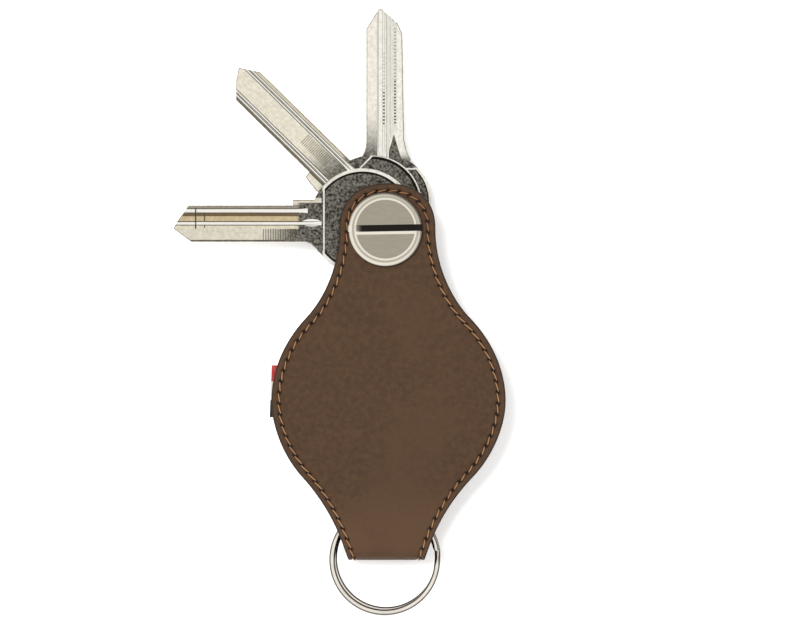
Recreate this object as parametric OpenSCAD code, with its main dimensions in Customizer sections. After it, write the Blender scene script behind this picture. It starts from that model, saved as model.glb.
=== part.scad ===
// Folding leather key organiser: a folded leather wrap, three keys that swing out
// on one binding post, and a split ring through the fold.
// It lies on its back. +Z points out of its front, +Y towards the post end.
// The origin is on the post's axis, on the rear head's outer face.

/* [Leather wrap] */
// Radius of the rounded top end about the post
neck_r = 10.9; // [10.6:0.1:12]
// Radius of the wide belly
belly_r = 26.3; // [24:0.1:28]
// Distance from the post's axis down to the middle of the belly
belly_drop = 38.4; // [37:0.1:41]
// Distance from the post's axis down to the fold
fold_drop = 75.3; // [74:0.1:80]
// Half the width of the strip at the fold
fold_half_w = 8.7; // [7.5:0.1:9.5]
// Radius of the hollow curve between the belly and the fold
tail_r = 46; // [36:1:50]
// How far the strip's middle lies to the right of the post
wrap_side = 0.45; // [0:0.05:0.5]
// Thickness of the outer leather
outer_t = 1.2; // [1:0.05:1.4]
// Thickness of the lining
lining_t = 0.8; // [0.6:0.05:0.9]
// Outer radius of the rounded fold, seen from the side
fold_r = 4; // [3.8:0.1:4.5]
// How far each panel bows out at the belly
belly_bow = 1.1; // [0.4:0.1:1.1]

/* [Pivot] */
// Diameter of the barrel that the keys turn on
barrel_d = 6; // [5.5:0.1:6.2]
// Diameter of the two heads
head_d = 16.8; // [15:0.1:17]
// Thickness of the rear head
rear_head_t = 1.4; // [1.2:0.1:1.8]
// Thickness of the slotted front head
front_head_t = 1.6; // [1.4:0.1:2.2]
// Width of the slot across the front head
slot_w = 1.7; // [1.2:0.1:2.2]
// Depth of the slot
slot_depth = 1.1; // [0.7:0.1:1.2]
// Diameter of the screw's shank
shank_d = 4; // [3.4:0.1:4.2]
// Diameter of the spacer washers
washer_d = 11; // [9:0.1:12]
// Thickness of each spacer washer
washer_t = 0.4; // [0.3:0.05:0.6]

/* [Keys] */
// Thickness of each key
key_t = 2; // [1.8:0.1:2.2]
// Depth of the sunk field on each face of a bow
field_depth = 0.25; // [0.15:0.05:0.35]
// Width of the raised rim round a bow
rim_w = 1.3; // [1:0.1:2]
// Depth of the milled grooves
groove_depth = 0.5; // [0.3:0.05:0.7]
// Angle of the key on the left, counted from +X
left_angle = 180; // [170:1:190]
// Angle of the diagonal key
diagonal_angle = 135.5; // [125:0.5:145]
// Angle of the key that points up
up_angle = 90; // [80:1:100]

/* [Split ring] */
// Outside diameter of the ring
ring_d = 25.4; // [25:0.1:27]
// Diameter of the ring's wire
wire_d = 1.4; // [1.3:0.05:1.7]
// Distance from the post's axis down to the ring's centre
ring_drop = 75.1; // [74:0.1:76]
// Sideways offset of the ring's centre
ring_side = -0.25; // [-0.3:0.05:0.3]

/* [Stitching] */
// Distance from the edge to the middle of the seam
seam_inset = 1.75; // [1.5:0.05:2]
// Distance from one stitch to the next
stitch_pitch = 2.6; // [2.4:0.1:4]
// Length of a stitch on the surface
stitch_len = 1.8; // [1.4:0.1:2]
// Diameter of the thread
thread_d = 0.55; // [0.4:0.05:0.6]

/* [Side tab] */
// Height of the tab along the edge
tab_h = 11.8; // [8:0.1:14]
// How far the tab stands out beyond the leather's edge
tab_out = 0.6; // [0.4:0.1:1.5]
// Thickness of the folded tape
tab_t = 0.6; // [0.4:0.1:0.6]
// Distance from the post's axis down to the middle of the tab
tab_drop = 36.7; // [34:0.1:40]

/* [Hidden] */
$fn = 96;

eps = 0.01;          // overlap that keeps a cut from leaving a skin
head_gap = 0.05;     // clearance under the slotted head
key_play = 0.05;     // clearance above and below each key
bore_play = 0.05;    // radial clearance of the shank in the barrel
punch_play = 0.05;   // radial clearance of the leather's punched hole on the barrel
hole_play = 0.1;     // radial clearance of the keys on the barrel
panel_t = outer_t + lining_t;

// Heights of the stack on the post, from the rear head up
key_level = key_t + 2 * key_play + washer_t;
stack_z = rear_head_t + panel_t;
stack_h = 3 * key_level + washer_t;
front_z = stack_z + stack_h + panel_t;
mid_z = (rear_head_t + front_z) / 2;
pivot_half = mid_z - rear_head_t;
belly_half = pivot_half + belly_bow;

// The outline's arcs, right-hand side, each as centre, radius, first and last angle
waist_r = (belly_drop * belly_drop + neck_r * neck_r - belly_r * belly_r) / (2 * (belly_r - neck_r));
waist_c = [neck_r + waist_r, 0];
belly_c = [0, -belly_drop];
corner = [fold_half_w, -fold_drop];
corner_span = norm(corner - belly_c);
corner_dir = atan2(corner.y - belly_c.y, corner.x - belly_c.x);
reach = belly_r + tail_r;
tail_dir = corner_dir + acos((pow(corner_span, 2) + pow(reach, 2) - pow(tail_r, 2)) / (2 * corner_span * reach));
tail_c = belly_c + reach * [cos(tail_dir), sin(tail_dir)];
waist_dir = atan2(-belly_drop, -waist_c.x);
corner_tail_dir = atan2(corner.y - tail_c.y, corner.x - tail_c.x);
function seam_arcs(inset) = [
    [[0, 0], neck_r - inset, 90, 0],
    [waist_c, waist_r + inset, 180, 360 + waist_dir],
    [belly_c, belly_r - inset, 180 + waist_dir, tail_dir],
    [tail_c, tail_r + inset, 180 + tail_dir, (corner_tail_dir + 360) % 360]
];
function arc_length(arc) = abs(arc[3] - arc[2]) * arc[1] * PI / 180;
function on_arc(arc, t) = let (a = arc[2] + (arc[3] - arc[2]) * t) arc[0] + arc[1] * [cos(a), sin(a)];

// Half the height of the folded wrap at a place along it, by two smooth steps
fold_y = -(fold_drop - fold_r);
flat_y = -neck_r - 1;
function smooth_step(t) = (1 - cos(180 * min(max(t, 0), 1))) / 2;
function half_height(y) =
    y > -belly_drop
    ? pivot_half + belly_bow * smooth_step((flat_y - y) / (flat_y + belly_drop))
    : belly_half - (belly_half - fold_r) * smooth_step((-belly_drop - y) / (-belly_drop - fold_y));

top_y = neck_r + 2;
profile_steps = 36;
arc_steps = 16;
profile_side = [
    for (i = [0:profile_steps])
        let (y = flat_y + (fold_y - flat_y) * i / profile_steps) [y, half_height(y)]
];

// Side view of the wrap's outer surface, or of one a distance inside it
module profile(inset, top) {
    r = fold_r - inset;
    polygon([
        [top, pivot_half - inset],
        for (p = profile_side) [p.x, p.y - inset],
        for (i = [1:arc_steps - 1]) [fold_y - r * sin(180 * i / arc_steps), r * cos(180 * i / arc_steps)],
        for (i = [profile_steps:-1:0]) [profile_side[i].x, inset - profile_side[i].y],
        [top, inset - pivot_half]
    ]);
}

// The folded sheet between two depths below the outer surface
module folded_layer(outer, inner) {
    translate([-belly_r - 5, 0, mid_z])
        rotate([90, 0, 90])
            linear_extrude(2 * belly_r + 10)
                difference() {
                    profile(outer, top_y);
                    profile(inner, top_y + 1);
                }
}

// The cut outline of the strip as a thick plate, seen from the front
module outline_plate() {
    waist_t = waist_c + waist_r * [cos(waist_dir), sin(waist_dir)];
    tail_t = tail_c - tail_r * [cos(tail_dir), sin(tail_dir)];
    depth = 2 * mid_z;
    cylinder(r = neck_r, h = depth);
    translate(belly_c) cylinder(r = belly_r, h = depth);
    linear_extrude(depth)
        difference() {
            polygon([[neck_r, 0], waist_t, [-waist_t.x, waist_t.y], [-neck_r, 0]]);
            for (s = [-1, 1]) translate([s * waist_c.x, waist_c.y]) circle(waist_r);
        }
    linear_extrude(depth)
        difference() {
            polygon([tail_t, [tail_t.x, corner.y - 1], [-tail_t.x, corner.y - 1], [-tail_t.x, tail_t.y]]);
            for (s = [-1, 1]) translate([s * tail_c.x, tail_c.y]) circle(tail_r);
        }
}

module cut_sheet(outer, inner) {
    difference() {
        intersection() {
            folded_layer(outer, inner);
            translate([wrap_side, 0, 0]) outline_plate();
        }
        cylinder(d = barrel_d + 2 * punch_play, h = 2 * mid_z);
    }
}

module leather_wrap() {
    color([0.36, 0.285, 0.22]) cut_sheet(0, outer_t);
}

module leather_lining() {
    color([0.33, 0.26, 0.2])
        difference() {
            cut_sheet(outer_t, panel_t);
            tab_solid();
        }
}

// A thread lying on the leather between two points
module rod(a, b) {
    d = b - a;
    translate(a) rotate([0, acos(d.z / norm(d)), atan2(d.y, d.x)]) cylinder(d = thread_d, h = norm(d), $fn = 24);
}

// One panel's stitches: face is 1 on the front and -1 on the back
sink = 0.1;
module stitches(face) {
    for (arc = seam_arcs(seam_inset), side = [-1, 1]) {
        count = round(arc_length(arc) / stitch_pitch);
        half_t = stitch_len / arc_length(arc) / 2;
        for (i = [0:count - 1]) {
            t = (i + 0.5) / count;
            p = on_arc(arc, t - half_t);
            q = on_arc(arc, t + half_t);
            if (q.y > fold_y)
                rod([wrap_side + side * p.x, p.y, mid_z + face * (half_height(p.y) - sink)],
                    [wrap_side + side * q.x, q.y, mid_z + face * (half_height(q.y) - sink)]);
        }
    }
}

module front_stitching() {
    color([0.75, 0.5, 0.3]) stitches(1);
}

module back_stitching() {
    color([0.75, 0.5, 0.3]) stitches(-1);
}

// Folded tape between the outer leather and the lining, at the left edge
tab_in = 2.6;
module tab_solid() {
    edge = wrap_side - sqrt(pow(belly_r, 2) - pow(tab_drop - belly_drop, 2));
    z = mid_z + min(half_height(-tab_drop - tab_h / 2), half_height(-tab_drop + tab_h / 2)) - outer_t - tab_t;
    translate([edge - tab_out, -tab_drop - tab_h / 2, z]) cube([tab_out + tab_in, tab_h, tab_t]);
}

module side_tab() {
    color([0.8, 0.15, 0.12]) tab_solid();
}

// Rear head and bored barrel
barrel_top = front_z - 0.3;
bore_floor = 5;
module binding_post() {
    color([0.67, 0.63, 0.57])
        difference() {
            rotate_extrude() head_profile(rear_head_t, barrel_d / 2, barrel_top);
            translate([0, 0, bore_floor]) cylinder(d = shank_d + 2 * bore_play, h = barrel_top);
        }
}

// Half section of a head whose outer face is at zero, with a chamfered rim, and its shaft
chamfer_w = 1.3;
chamfer_h = 0.6;
module head_profile(head_t, shaft_r, shaft_end) {
    polygon([[0, 0], [head_d / 2 - chamfer_w, 0], [head_d / 2, chamfer_h], [head_d / 2, head_t],
        [shaft_r, head_t], [shaft_r, shaft_end], [0, shaft_end]]);
}

// Front head with its slot, and the shank that goes into the barrel
shank_end = bore_floor + 0.5;
slot_turn = 1;
module slotted_screw() {
    head_top = front_z + head_gap + front_head_t;
    color([0.67, 0.63, 0.57])
        translate([0, 0, head_top])
            mirror([0, 0, 1])
                difference() {
                    rotate_extrude() head_profile(front_head_t, shank_d / 2, head_top - shank_end);
                    rotate(slot_turn)
                        translate([-head_d / 2 - 1, -slot_w / 2, -eps])
                            cube([head_d + 2, slot_w, slot_depth + eps]);
                }
}

module pivot_washer(level) {
    color([0.8, 0.8, 0.78])
        translate([0, 0, stack_z + level * key_level])
            difference() {
                cylinder(d = washer_d, h = washer_t);
                translate([0, 0, -eps]) cylinder(d = barrel_d, h = washer_t + 2 * eps);
            }
}

// A key lies along +X from the post, and its side coordinate grows to the left.
// bow is [along, side, radius], shank is the outline from the bow round the tip,
// and each groove is [side, width, where its full depth ends].
eye_r = 6;
field_end = 14;
cutter_r = 14;
module key_blank(bow, shank, grooves) {
    difference() {
        union() {
            translate([bow.x, bow.y, 0]) cylinder(r = bow[2], h = key_t);
            cylinder(r = eye_r, h = key_t);
            linear_extrude(key_t) polygon(shank);
        }
        translate([0, 0, -eps]) cylinder(d = barrel_d + 2 * hole_play, h = key_t + 1);
        for (z = [-eps, key_t - field_depth])
            translate([0, 0, z])
                linear_extrude(field_depth + eps)
                    difference() {
                        translate([bow.x, bow.y]) circle(bow[2] - rim_w);
                        circle(eye_r);
                        translate([field_end, -bow[2]]) square(3 * bow[2]);
                    }
        for (g = grooves, z = [0, key_t]) groove(g.x, g.y, g.z, z);
    }
}

// A groove milled in from the tip by a disc cutter, with its round run-out
module groove(side, width, run_out, z) {
    inside = z > 0 ? key_t - groove_depth : -1;
    translate([run_out, side - width / 2, inside]) cube([80, width, 1 + groove_depth]);
    translate([run_out, side + width / 2, z > 0 ? key_t - groove_depth + cutter_r : groove_depth - cutter_r])
        rotate([90, 0, 0])
            cylinder(r = cutter_r, h = width);
}

function key_z(level) = stack_z + level * key_level + washer_t + key_play;

module key_left() {
    color([0.78, 0.76, 0.7])
        translate([0, 0, key_z(2)])
            rotate(left_angle)
                key_blank(bow = [5.2, -1.9, 12.05],
                    shank = [[5.2, -7.4], [14.9, -7.4], [14.9, -6.8], [21, -6.8], [21, -5.5],
                        [44.8, -5.5], [47.6, -1.5], [48.2, -0.2], [44.2, 2.75],
                        [18.3, 2.75], [17, 3.2], [15.6, 4.6], [13.2, 7.1], [5.2, 7.1]],
                    grooves = [[-4.3, 1.1, 20.8], [-1.6, 1, 18.3]]);
}

module key_diagonal() {
    color([0.78, 0.76, 0.7])
        translate([0, 0, key_z(1)])
            rotate(diagonal_angle)
                key_blank(bow = [6.2, -2, 11.25],
                    shank = [[6.2, -5.6], [45.6, -5.6], [49.8, -2.9], [48.2, -0.5], [45.1, 2.8],
                        [21.6, 2.8], [21.5, 4.2], [17.6, 4.75], [16.5, 4.5], [6.2, 4.5]],
                    grooves = [[-4.1, 1.2, 19], [1.5, 1.2, 19]]);
}

module key_up() {
    color([0.78, 0.76, 0.7])
        translate([0, 0, key_z(0)])
            rotate(up_angle)
                key_blank(bow = [6.6, 0.4, 10.9],
                    shank = [[6.6, -5.7], [16.2, -5.7], [17.9, -4.85], [20.8, -4.3],
                        [45.8, -4.3], [48.1, -2.4], [50.2, 0.3], [50.3, 1.6], [46, 4.4],
                        [20, 4.4], [18.3, 4.7], [17, 5.3], [16.2, 6.3], [6.6, 6.3]],
                    grooves = [[1.8, 0.8, 23], [0, 0.8, 22], [-2, 0.8, 23]]);
}

// Two touching turns of wire, each parted where it ends
turn_gap = 0.3;
flat = 0.06;
module split_ring() {
    r = (ring_d - wire_d) / 2;
    lift = (wire_d - flat) / 2;
    color([0.72, 0.71, 0.68])
        translate([ring_side, -ring_drop, mid_z])
            difference() {
                rotate_extrude()
                    for (z = [-lift, lift]) translate([r, z]) circle(d = wire_d);
                for (s = [-1, 1])
                    rotate(s * 6)
                        translate([r, 0, s * (lift + flat)])
                            cube([2 * wire_d, turn_gap, wire_d], center = true);
            }
}

leather_wrap();
leather_lining();
front_stitching();
back_stitching();
side_tab();
binding_post();
slotted_screw();
pivot_washer(0);  // pivot_washer_1
pivot_washer(1);  // pivot_washer_2
pivot_washer(2);  // pivot_washer_3
pivot_washer(3);  // pivot_washer_4
key_left();
key_diagonal();
key_up();
split_ring();
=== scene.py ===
import math

import bmesh
import bpy
import numpy as np
from mathutils import Matrix, Vector


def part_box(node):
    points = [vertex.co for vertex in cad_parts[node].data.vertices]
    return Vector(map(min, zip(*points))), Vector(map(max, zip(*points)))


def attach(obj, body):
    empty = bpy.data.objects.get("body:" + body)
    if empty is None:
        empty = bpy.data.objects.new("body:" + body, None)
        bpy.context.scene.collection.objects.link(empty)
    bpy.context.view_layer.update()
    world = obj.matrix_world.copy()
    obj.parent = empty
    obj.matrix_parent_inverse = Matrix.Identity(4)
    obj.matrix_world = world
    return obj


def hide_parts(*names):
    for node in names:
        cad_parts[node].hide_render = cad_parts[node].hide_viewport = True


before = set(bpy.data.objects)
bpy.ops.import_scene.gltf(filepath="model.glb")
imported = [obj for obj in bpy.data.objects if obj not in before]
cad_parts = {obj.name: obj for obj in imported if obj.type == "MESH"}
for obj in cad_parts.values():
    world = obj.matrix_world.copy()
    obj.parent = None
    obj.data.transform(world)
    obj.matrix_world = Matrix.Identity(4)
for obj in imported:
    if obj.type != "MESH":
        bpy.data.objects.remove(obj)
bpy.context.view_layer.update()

MM = 0.001


# ---------------------------------------------------------------- sizes, in millimetres

def box_mm(node):
    """Lowest and highest corner of a CAD node, in millimetres."""
    low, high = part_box(node)
    return low / MM, high / MM


wrap_low, wrap_high = box_mm("leather_wrap")
NECK_R = wrap_high.y
BELLY_R = (wrap_high.x - wrap_low.x) / 2
FOLD_DROP = -wrap_low.y
MID_Z = (wrap_low.z + wrap_high.z) / 2
BELLY_HALF = (wrap_high.z - wrap_low.z) / 2
BELLY_DROP = 38.4
FOLD_HALF_W = 8.7
TAIL_R = 46
FOLD_R = 4
OUTER_T = 1.2
PANEL_T = 2.0
PIVOT_HALF = MID_Z - box_mm("pivot_washer_1")[0].z + PANEL_T
FOLD_Y = FOLD_R - FOLD_DROP
FLAT_Y = -NECK_R - 1

# How far the strip's middle lies to the right: at the neck, and what the belly adds and the fold takes
LEAN_NECK = 0.45
LEAN_BELLY = 0.25
LEAN_FOLD = 0.5

# The neck is a little flatter and squarer than a true half round
NECK_SQUASH = 0.955
NECK_SQUARENESS = 0.87

SEAM_INSET = 1.72
STITCH_PITCH = 2.5
THREAD_R = 0.13
THREAD_RISE = 0.09
THREAD_DIP = 0.95
STITCH_SLANT = 0.5
STITCH_RINGS = 17
STITCH_CORNERS = 10

ring_low, ring_high = box_mm("split_ring")
screw_low, screw_high = box_mm("slotted_screw")
HEAD_R = (screw_high.x - screw_low.x) / 2
WIRE_D = 1.4
KEY_T = 2.0
POST_HOLE_R = 3.05
KEY_HOLE_R = 3.1
BRUSHED_R = 6.6


# ---------------------------------------------------------------- mesh helpers

def new_object(name, vertices, faces, smooth_angle=35):
    """A mesh object from points in millimetres, smooth but for edges sharper than the angle."""
    mesh = bpy.data.meshes.new(name)
    points = np.asarray(vertices, float) * MM
    mesh.from_pydata(points.tolist(), [], faces)
    mesh.validate()
    obj = bpy.data.objects.new(name, mesh)
    bpy.context.scene.collection.objects.link(obj)
    shade(obj, smooth_angle)
    return obj


def shade(obj, smooth_angle=35):
    """Smooth shading, with edges sharper than the angle kept sharp."""
    mesh = obj.data
    mesh.polygons.foreach_set("use_smooth", np.ones(len(mesh.polygons), bool))
    mesh.set_sharp_from_angle(angle=math.radians(smooth_angle))


def edit_mesh(obj, action):
    """Runs an action on the object's mesh as a bmesh."""
    bm = bmesh.new()
    bm.from_mesh(obj.data)
    action(bm)
    bm.to_mesh(obj.data)
    bm.free()
    obj.data.update()


def fix_normals(bm):
    """Turns every face outwards."""
    bmesh.ops.recalc_face_normals(bm, faces=bm.faces)


def solid(name, points, faces, smooth_angle=35):
    """A closed mesh object with its faces turned outwards."""
    obj = new_object(name, points, faces, smooth_angle)
    edit_mesh(obj, fix_normals)
    return obj


def grid_faces(rows, columns, wrap_columns=True):
    """Quads of a grid of points, numbered along its rows."""
    last_column = columns if wrap_columns else columns - 1
    r, c = np.meshgrid(np.arange(rows - 1), np.arange(last_column), indexing="ij")
    after_c = (c + 1) % columns
    above = (r + 1) * columns
    corners = [r * columns + c, r * columns + after_c, above + after_c, above + c]
    return np.stack(corners, -1).reshape(-1, 4)


def tube_faces(rows, columns):
    """Quads of a tube of rings, and one face over each of its ends."""
    first = list(range(columns))
    last = [(rows - 1) * columns + i for i in first]
    return grid_faces(rows, columns).tolist() + [first[::-1], last]


def full_turn(count):
    """Angles once round, without the one that repeats the first."""
    return np.linspace(0, 2 * np.pi, count, endpoint=False)


def circle(x, y, radius, segments=144):
    """The points of a circle, anticlockwise."""
    turn = full_turn(segments)
    return np.stack([x + radius * np.cos(turn), y + radius * np.sin(turn)], -1)


def unit(v):
    """Vectors brought to a length of one."""
    return v / np.linalg.norm(v, axis=-1, keepdims=True)


def sweep(centres, normals, section):
    """Rings of a section round a path: section holds (across, up) for each ring and point."""
    tangents = unit(np.gradient(centres, axis=0))
    across = unit(np.cross(tangents, normals))
    up = np.cross(across, tangents)
    rings = centres[:, None] + across[:, None] * section[..., :1] + up[:, None] * section[..., 1:]
    return rings.reshape(-1, 3), tube_faces(*rings.shape[:2])


def join_shells(shells):
    """One list of points and faces from several."""
    points = []
    faces = []
    count = 0
    for shell_points, shell_faces in shells:
        points.append(shell_points)
        faces += [[i + count for i in face] for face in shell_faces]
        count += len(shell_points)
    return np.concatenate(points), faces


def lathe(name, profile, segments=160):
    """A turned piece about Z from (radius, height) points, the first and last of which lie on the axis."""
    inner = np.array(profile[1:-1], float)
    turn = full_turn(segments)
    rings = np.stack([
        inner[:, :1] * np.cos(turn),
        inner[:, :1] * np.sin(turn),
        np.repeat(inner[:, 1:], segments, 1)], -1)
    faces = grid_faces(len(inner), segments).tolist()
    points = np.concatenate([rings.reshape(-1, 3), [[0, 0, profile[0][1]], [0, 0, profile[-1][1]]]])
    first, last = len(points) - 2, len(points) - 1
    end = (len(inner) - 1) * segments
    for i in range(segments):
        after = (i + 1) % segments
        faces.append([first, after, i])
        faces.append([last, end + i, end + after])
    return solid(name, points, faces, 25)


def prism(outline, low, high):
    """A straight prism along Z over an outline."""
    points = [(x, y, z) for z in (low, high) for x, y in outline]
    return solid("solid", points, tube_faces(2, len(outline)))


def disc(x, y, radius, low, high, segments=144):
    """A straight cylinder along Z."""
    return prism(circle(x, y, radius, segments), low, high)


def coat(obj, material):
    """Give the whole piece one material, in place of any empty slot left by a Boolean."""
    obj.data.materials.clear()
    obj.data.materials.append(material)


def combine(target, operation, *tools):
    """Joins, cuts or intersects the target with each tool, and uses the tools up."""
    for tool in tools:
        step = target.modifiers.new("combine", "BOOLEAN")
        step.operation = operation
        step.solver = "MANIFOLD"
        step.object = tool
        apply_modifiers(target)
        bpy.data.objects.remove(tool)


def apply_modifiers(obj):
    """Replaces the object's mesh with what its modifiers make of it."""
    bpy.context.view_layer.update()
    made = bpy.data.meshes.new_from_object(obj.evaluated_get(bpy.context.evaluated_depsgraph_get()))
    obj.modifiers.clear()
    obj.data = made


def soften(obj, width, segments=2):
    """Rounds every sharp edge a little, so that it catches the light."""
    step = obj.modifiers.new("soften", "BEVEL")
    step.width = width * MM
    step.segments = segments
    step.limit_method = "ANGLE"
    step.angle_limit = math.radians(50)
    apply_modifiers(obj)


def hand_over(obj, name, body, nodes):
    """Names a piece, and says which body and CAD nodes it stands for."""
    obj.name = name
    obj.data.name = name
    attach(obj, body)
    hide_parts(*nodes)


# ---------------------------------------------------------------- material helpers

def new_material(name):
    """A material, its node tree and its Principled shader."""
    material = bpy.data.materials.new(name)
    material.use_nodes = True
    return material, material.node_tree, material.node_tree.nodes["Principled BSDF"]


def add(tree, kind, inputs=(), **settings):
    """A shader node with its settings, and its inputs as values or links."""
    node = tree.nodes.new("ShaderNode" + kind)
    for key, value in settings.items():
        setattr(node, key, value)
    for key, value in dict(inputs).items():
        if isinstance(value, bpy.types.NodeSocket):
            tree.links.new(value, node.inputs[key])
        else:
            node.inputs[key].default_value = value
    return node


def place_of(tree):
    """A point's place on its piece, in metres."""
    return add(tree, "TexCoord").outputs["Object"]


def stretched(tree, vector, scale):
    """Coordinates stretched by a factor along each axis."""
    return add(tree, "VectorMath", {0: vector, 1: scale}, operation="MULTIPLY").outputs[0]


def noise(tree, vector, size, detail=3, roughness=0.5, distortion=0.0):
    """Noise whose blotches are about a size in millimetres."""
    inputs = {"Vector": vector, "Scale": 1 / (size * MM), "Detail": detail,
              "Roughness": roughness, "Distortion": distortion}
    return add(tree, "TexNoise", inputs).outputs["Fac"]


def cells(tree, vector, size):
    """Distance to the middle of cells of about a size in millimetres."""
    return add(tree, "TexVoronoi", {"Vector": vector, "Scale": 1 / (size * MM)}).outputs["Distance"]


def calc(tree, operation, a, b=0.0, clamp=False):
    """One sum on two values."""
    return add(tree, "Math", {0: a, 1: b}, operation=operation, use_clamp=clamp).outputs[0]


def between(tree, value, low, high, out_low=0.0, out_high=1.0):
    """Maps a value's range smoothly to another."""
    inputs = {"Value": value, "From Min": low, "From Max": high, "To Min": out_low, "To Max": out_high}
    return add(tree, "MapRange", inputs, interpolation_type="SMOOTHSTEP").outputs["Result"]


def axis(tree, vector, name):
    """One part of a vector, X, Y or Z."""
    return add(tree, "SeparateXYZ", {0: vector}).outputs[name]


def radius_of(tree, vector):
    """Distance from the Z axis."""
    flat = stretched(tree, vector, (1, 1, 0))
    return add(tree, "VectorMath", {0: flat}, operation="LENGTH").outputs["Value"]


def colour(red, green, blue):
    """A colour for a socket from linear parts."""
    return (red, green, blue, 1)


def mixed(tree, factor, a, b, blend="MIX"):
    """Colour a blended with colour b."""
    node = add(tree, "Mix", data_type="RGBA", blend_type=blend)
    for index, value in ((0, factor), (6, a), (7, b)):
        if isinstance(value, bpy.types.NodeSocket):
            tree.links.new(value, node.inputs[index])
        else:
            node.inputs[index].default_value = value
    return node.outputs[2]


def bump(tree, height, depth, strength=1.0, normal=None):
    """A normal from a height of 0 to 1, with its depth in millimetres."""
    inputs = {"Height": height, "Distance": depth * MM, "Strength": strength}
    if normal is not None:
        inputs["Normal"] = normal
    return add(tree, "Bump", inputs).outputs[0]


def attribute(tree, name):
    """A number that the mesh carries at each point."""
    return add(tree, "Attribute", attribute_name=name).outputs["Fac"]


def feed(tree, shader, **inputs):
    """Links or sets the shader's inputs, with _ for a space in their names."""
    for key, value in inputs.items():
        socket = shader.inputs[key.replace("_", " ")]
        if isinstance(value, bpy.types.NodeSocket):
            tree.links.new(value, socket)
        else:
            socket.default_value = value


# ---------------------------------------------------------------- materials

def leather_material(name, base, red, gloss):
    """Waxed leather, finely grained, redder in patches and at the fold, darker at its cut edge, with painted
    shade in the seam's holes and furrow.
    """
    material, tree, shader = new_material(name)
    here = place_of(tree)
    dark, light = (colour(*(share * part for part in base)) for share in (0.80, 1.20))
    broad = noise(tree, here, 17, 3, 0.5, 0.4)
    fine = noise(tree, here, 1.3, 5, 0.65)
    body = mixed(tree, between(tree, fine, 0.3, 0.7), dark, light)
    body = mixed(tree, between(tree, broad, 0.48, 0.72, 0, 0.55), body, colour(*red))
    near_fold = between(tree, axis(tree, here, "Y"), -0.056, -0.072)
    pulled = calc(tree, "MULTIPLY", near_fold, between(tree, broad, 0.25, 0.6, 0.35, 0.85))
    body = mixed(tree, pulled, body, colour(*(1.25 * part for part in red)))
    scuffs = noise(tree, stretched(tree, here, (1, 0.3, 1)), 3.0, 4, 0.6, 1.5)
    body = mixed(tree, between(tree, scuffs, 0.60, 0.75, 0, 0.30), body, light)
    body = mixed(tree, attribute(tree, "edge"), body, colour(0.022, 0.014, 0.009))
    # Painted shade: the seam's stitch holes and furrow are darkened towards black.
    shaded = calc(tree, "MULTIPLY", attribute(tree, "seam"), 1.0, clamp=True)
    body = mixed(tree, shaded, body, colour(0.010, 0.004, 0.002))
    grain = calc(tree, "ADD", cells(tree, here, 0.45),
                 calc(tree, "MULTIPLY", noise(tree, here, 0.25, 4), 0.8))
    relief = bump(tree, grain, 0.05, 0.45)
    creases = noise(tree, here, 2.6, 5, 0.65, 1.2)
    relief = bump(tree, creases, 0.08, 0.5, relief)
    rough = between(tree, fine, 0.3, 0.7, gloss, gloss + 0.14)
    feed(tree, shader, Base_Color=body, Roughness=rough, Normal=relief, Specular_IOR_Level=0.25)
    return material


def thread_material():
    """Waxed tan thread with fine fibres, painted near black as shade where it goes down into its holes."""
    material, tree, shader = new_material("thread")
    here = place_of(tree)
    fibre = noise(tree, here, 0.14, 3, 0.6)
    shade_of = noise(tree, here, 5, 2)
    body = mixed(tree, fibre, colour(0.23, 0.105, 0.036), colour(0.46, 0.25, 0.105))
    body = mixed(tree, between(tree, shade_of, 0.4, 0.7, 0, 0.35), body, colour(0.27, 0.11, 0.042))
    # Darker towards the top of the neck.
    toward_top = between(tree, axis(tree, here, "Y"), -0.012, 0.005, 0, 0.65)
    body = mixed(tree, toward_top, body, colour(0.20, 0.075, 0.022))
    # Painted shade: the thread's ends, where they go into the holes, are made near black.
    body = mixed(tree, attribute(tree, "sunk"), body, colour(0.010, 0.005, 0.003))
    feed(tree, shader, Base_Color=body, Roughness=0.62, Normal=bump(tree, fibre, 0.04, 0.7),
         Sheen_Weight=0.25)
    return material


def tape_material(low_y, high_y):
    """Plain woven tape in three bands, red, cream and black from the top down."""
    material, tree, shader = new_material("tape")
    here = place_of(tree)
    up = between(tree, axis(tree, here, "Y"), low_y * MM, high_y * MM)
    red, cream, black = colour(0.36, 0.020, 0.015), colour(0.60, 0.56, 0.44), colour(0.014, 0.013, 0.014)
    upper = calc(tree, "GREATER_THAN", axis(tree, here, "Y"), (high_y - (high_y - low_y) * 0.31) * MM)
    lower = calc(tree, "LESS_THAN", axis(tree, here, "Y"), (low_y + (high_y - low_y) * 0.33) * MM)
    body = mixed(tree, lower, mixed(tree, upper, cream, red), black)
    weft = add(tree, "TexWave", {"Vector": here, "Scale": 1150, "Distortion": 0.4},
               wave_type="BANDS", bands_direction="Y").outputs["Fac"]
    warp = add(tree, "TexWave", {"Vector": here, "Scale": 800, "Distortion": 0.4},
               wave_type="BANDS", bands_direction="X").outputs["Fac"]
    weave = calc(tree, "MULTIPLY", weft, calc(tree, "ADD", calc(tree, "MULTIPLY", warp, 0.6), 0.4))
    # Paler worn patches, more towards the top.
    toward_top = calc(tree, "MULTIPLY", up, between(tree, noise(tree, here, 1.4, 3), 0.35, 0.7, 0, 0.05))
    body = mixed(tree, toward_top, body, colour(0.85, 0.8, 0.72))
    feed(tree, shader, Base_Color=body, Roughness=0.82, Normal=bump(tree, weave, 0.08, 0.8),
         Sheen_Weight=0.2)
    return material


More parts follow.
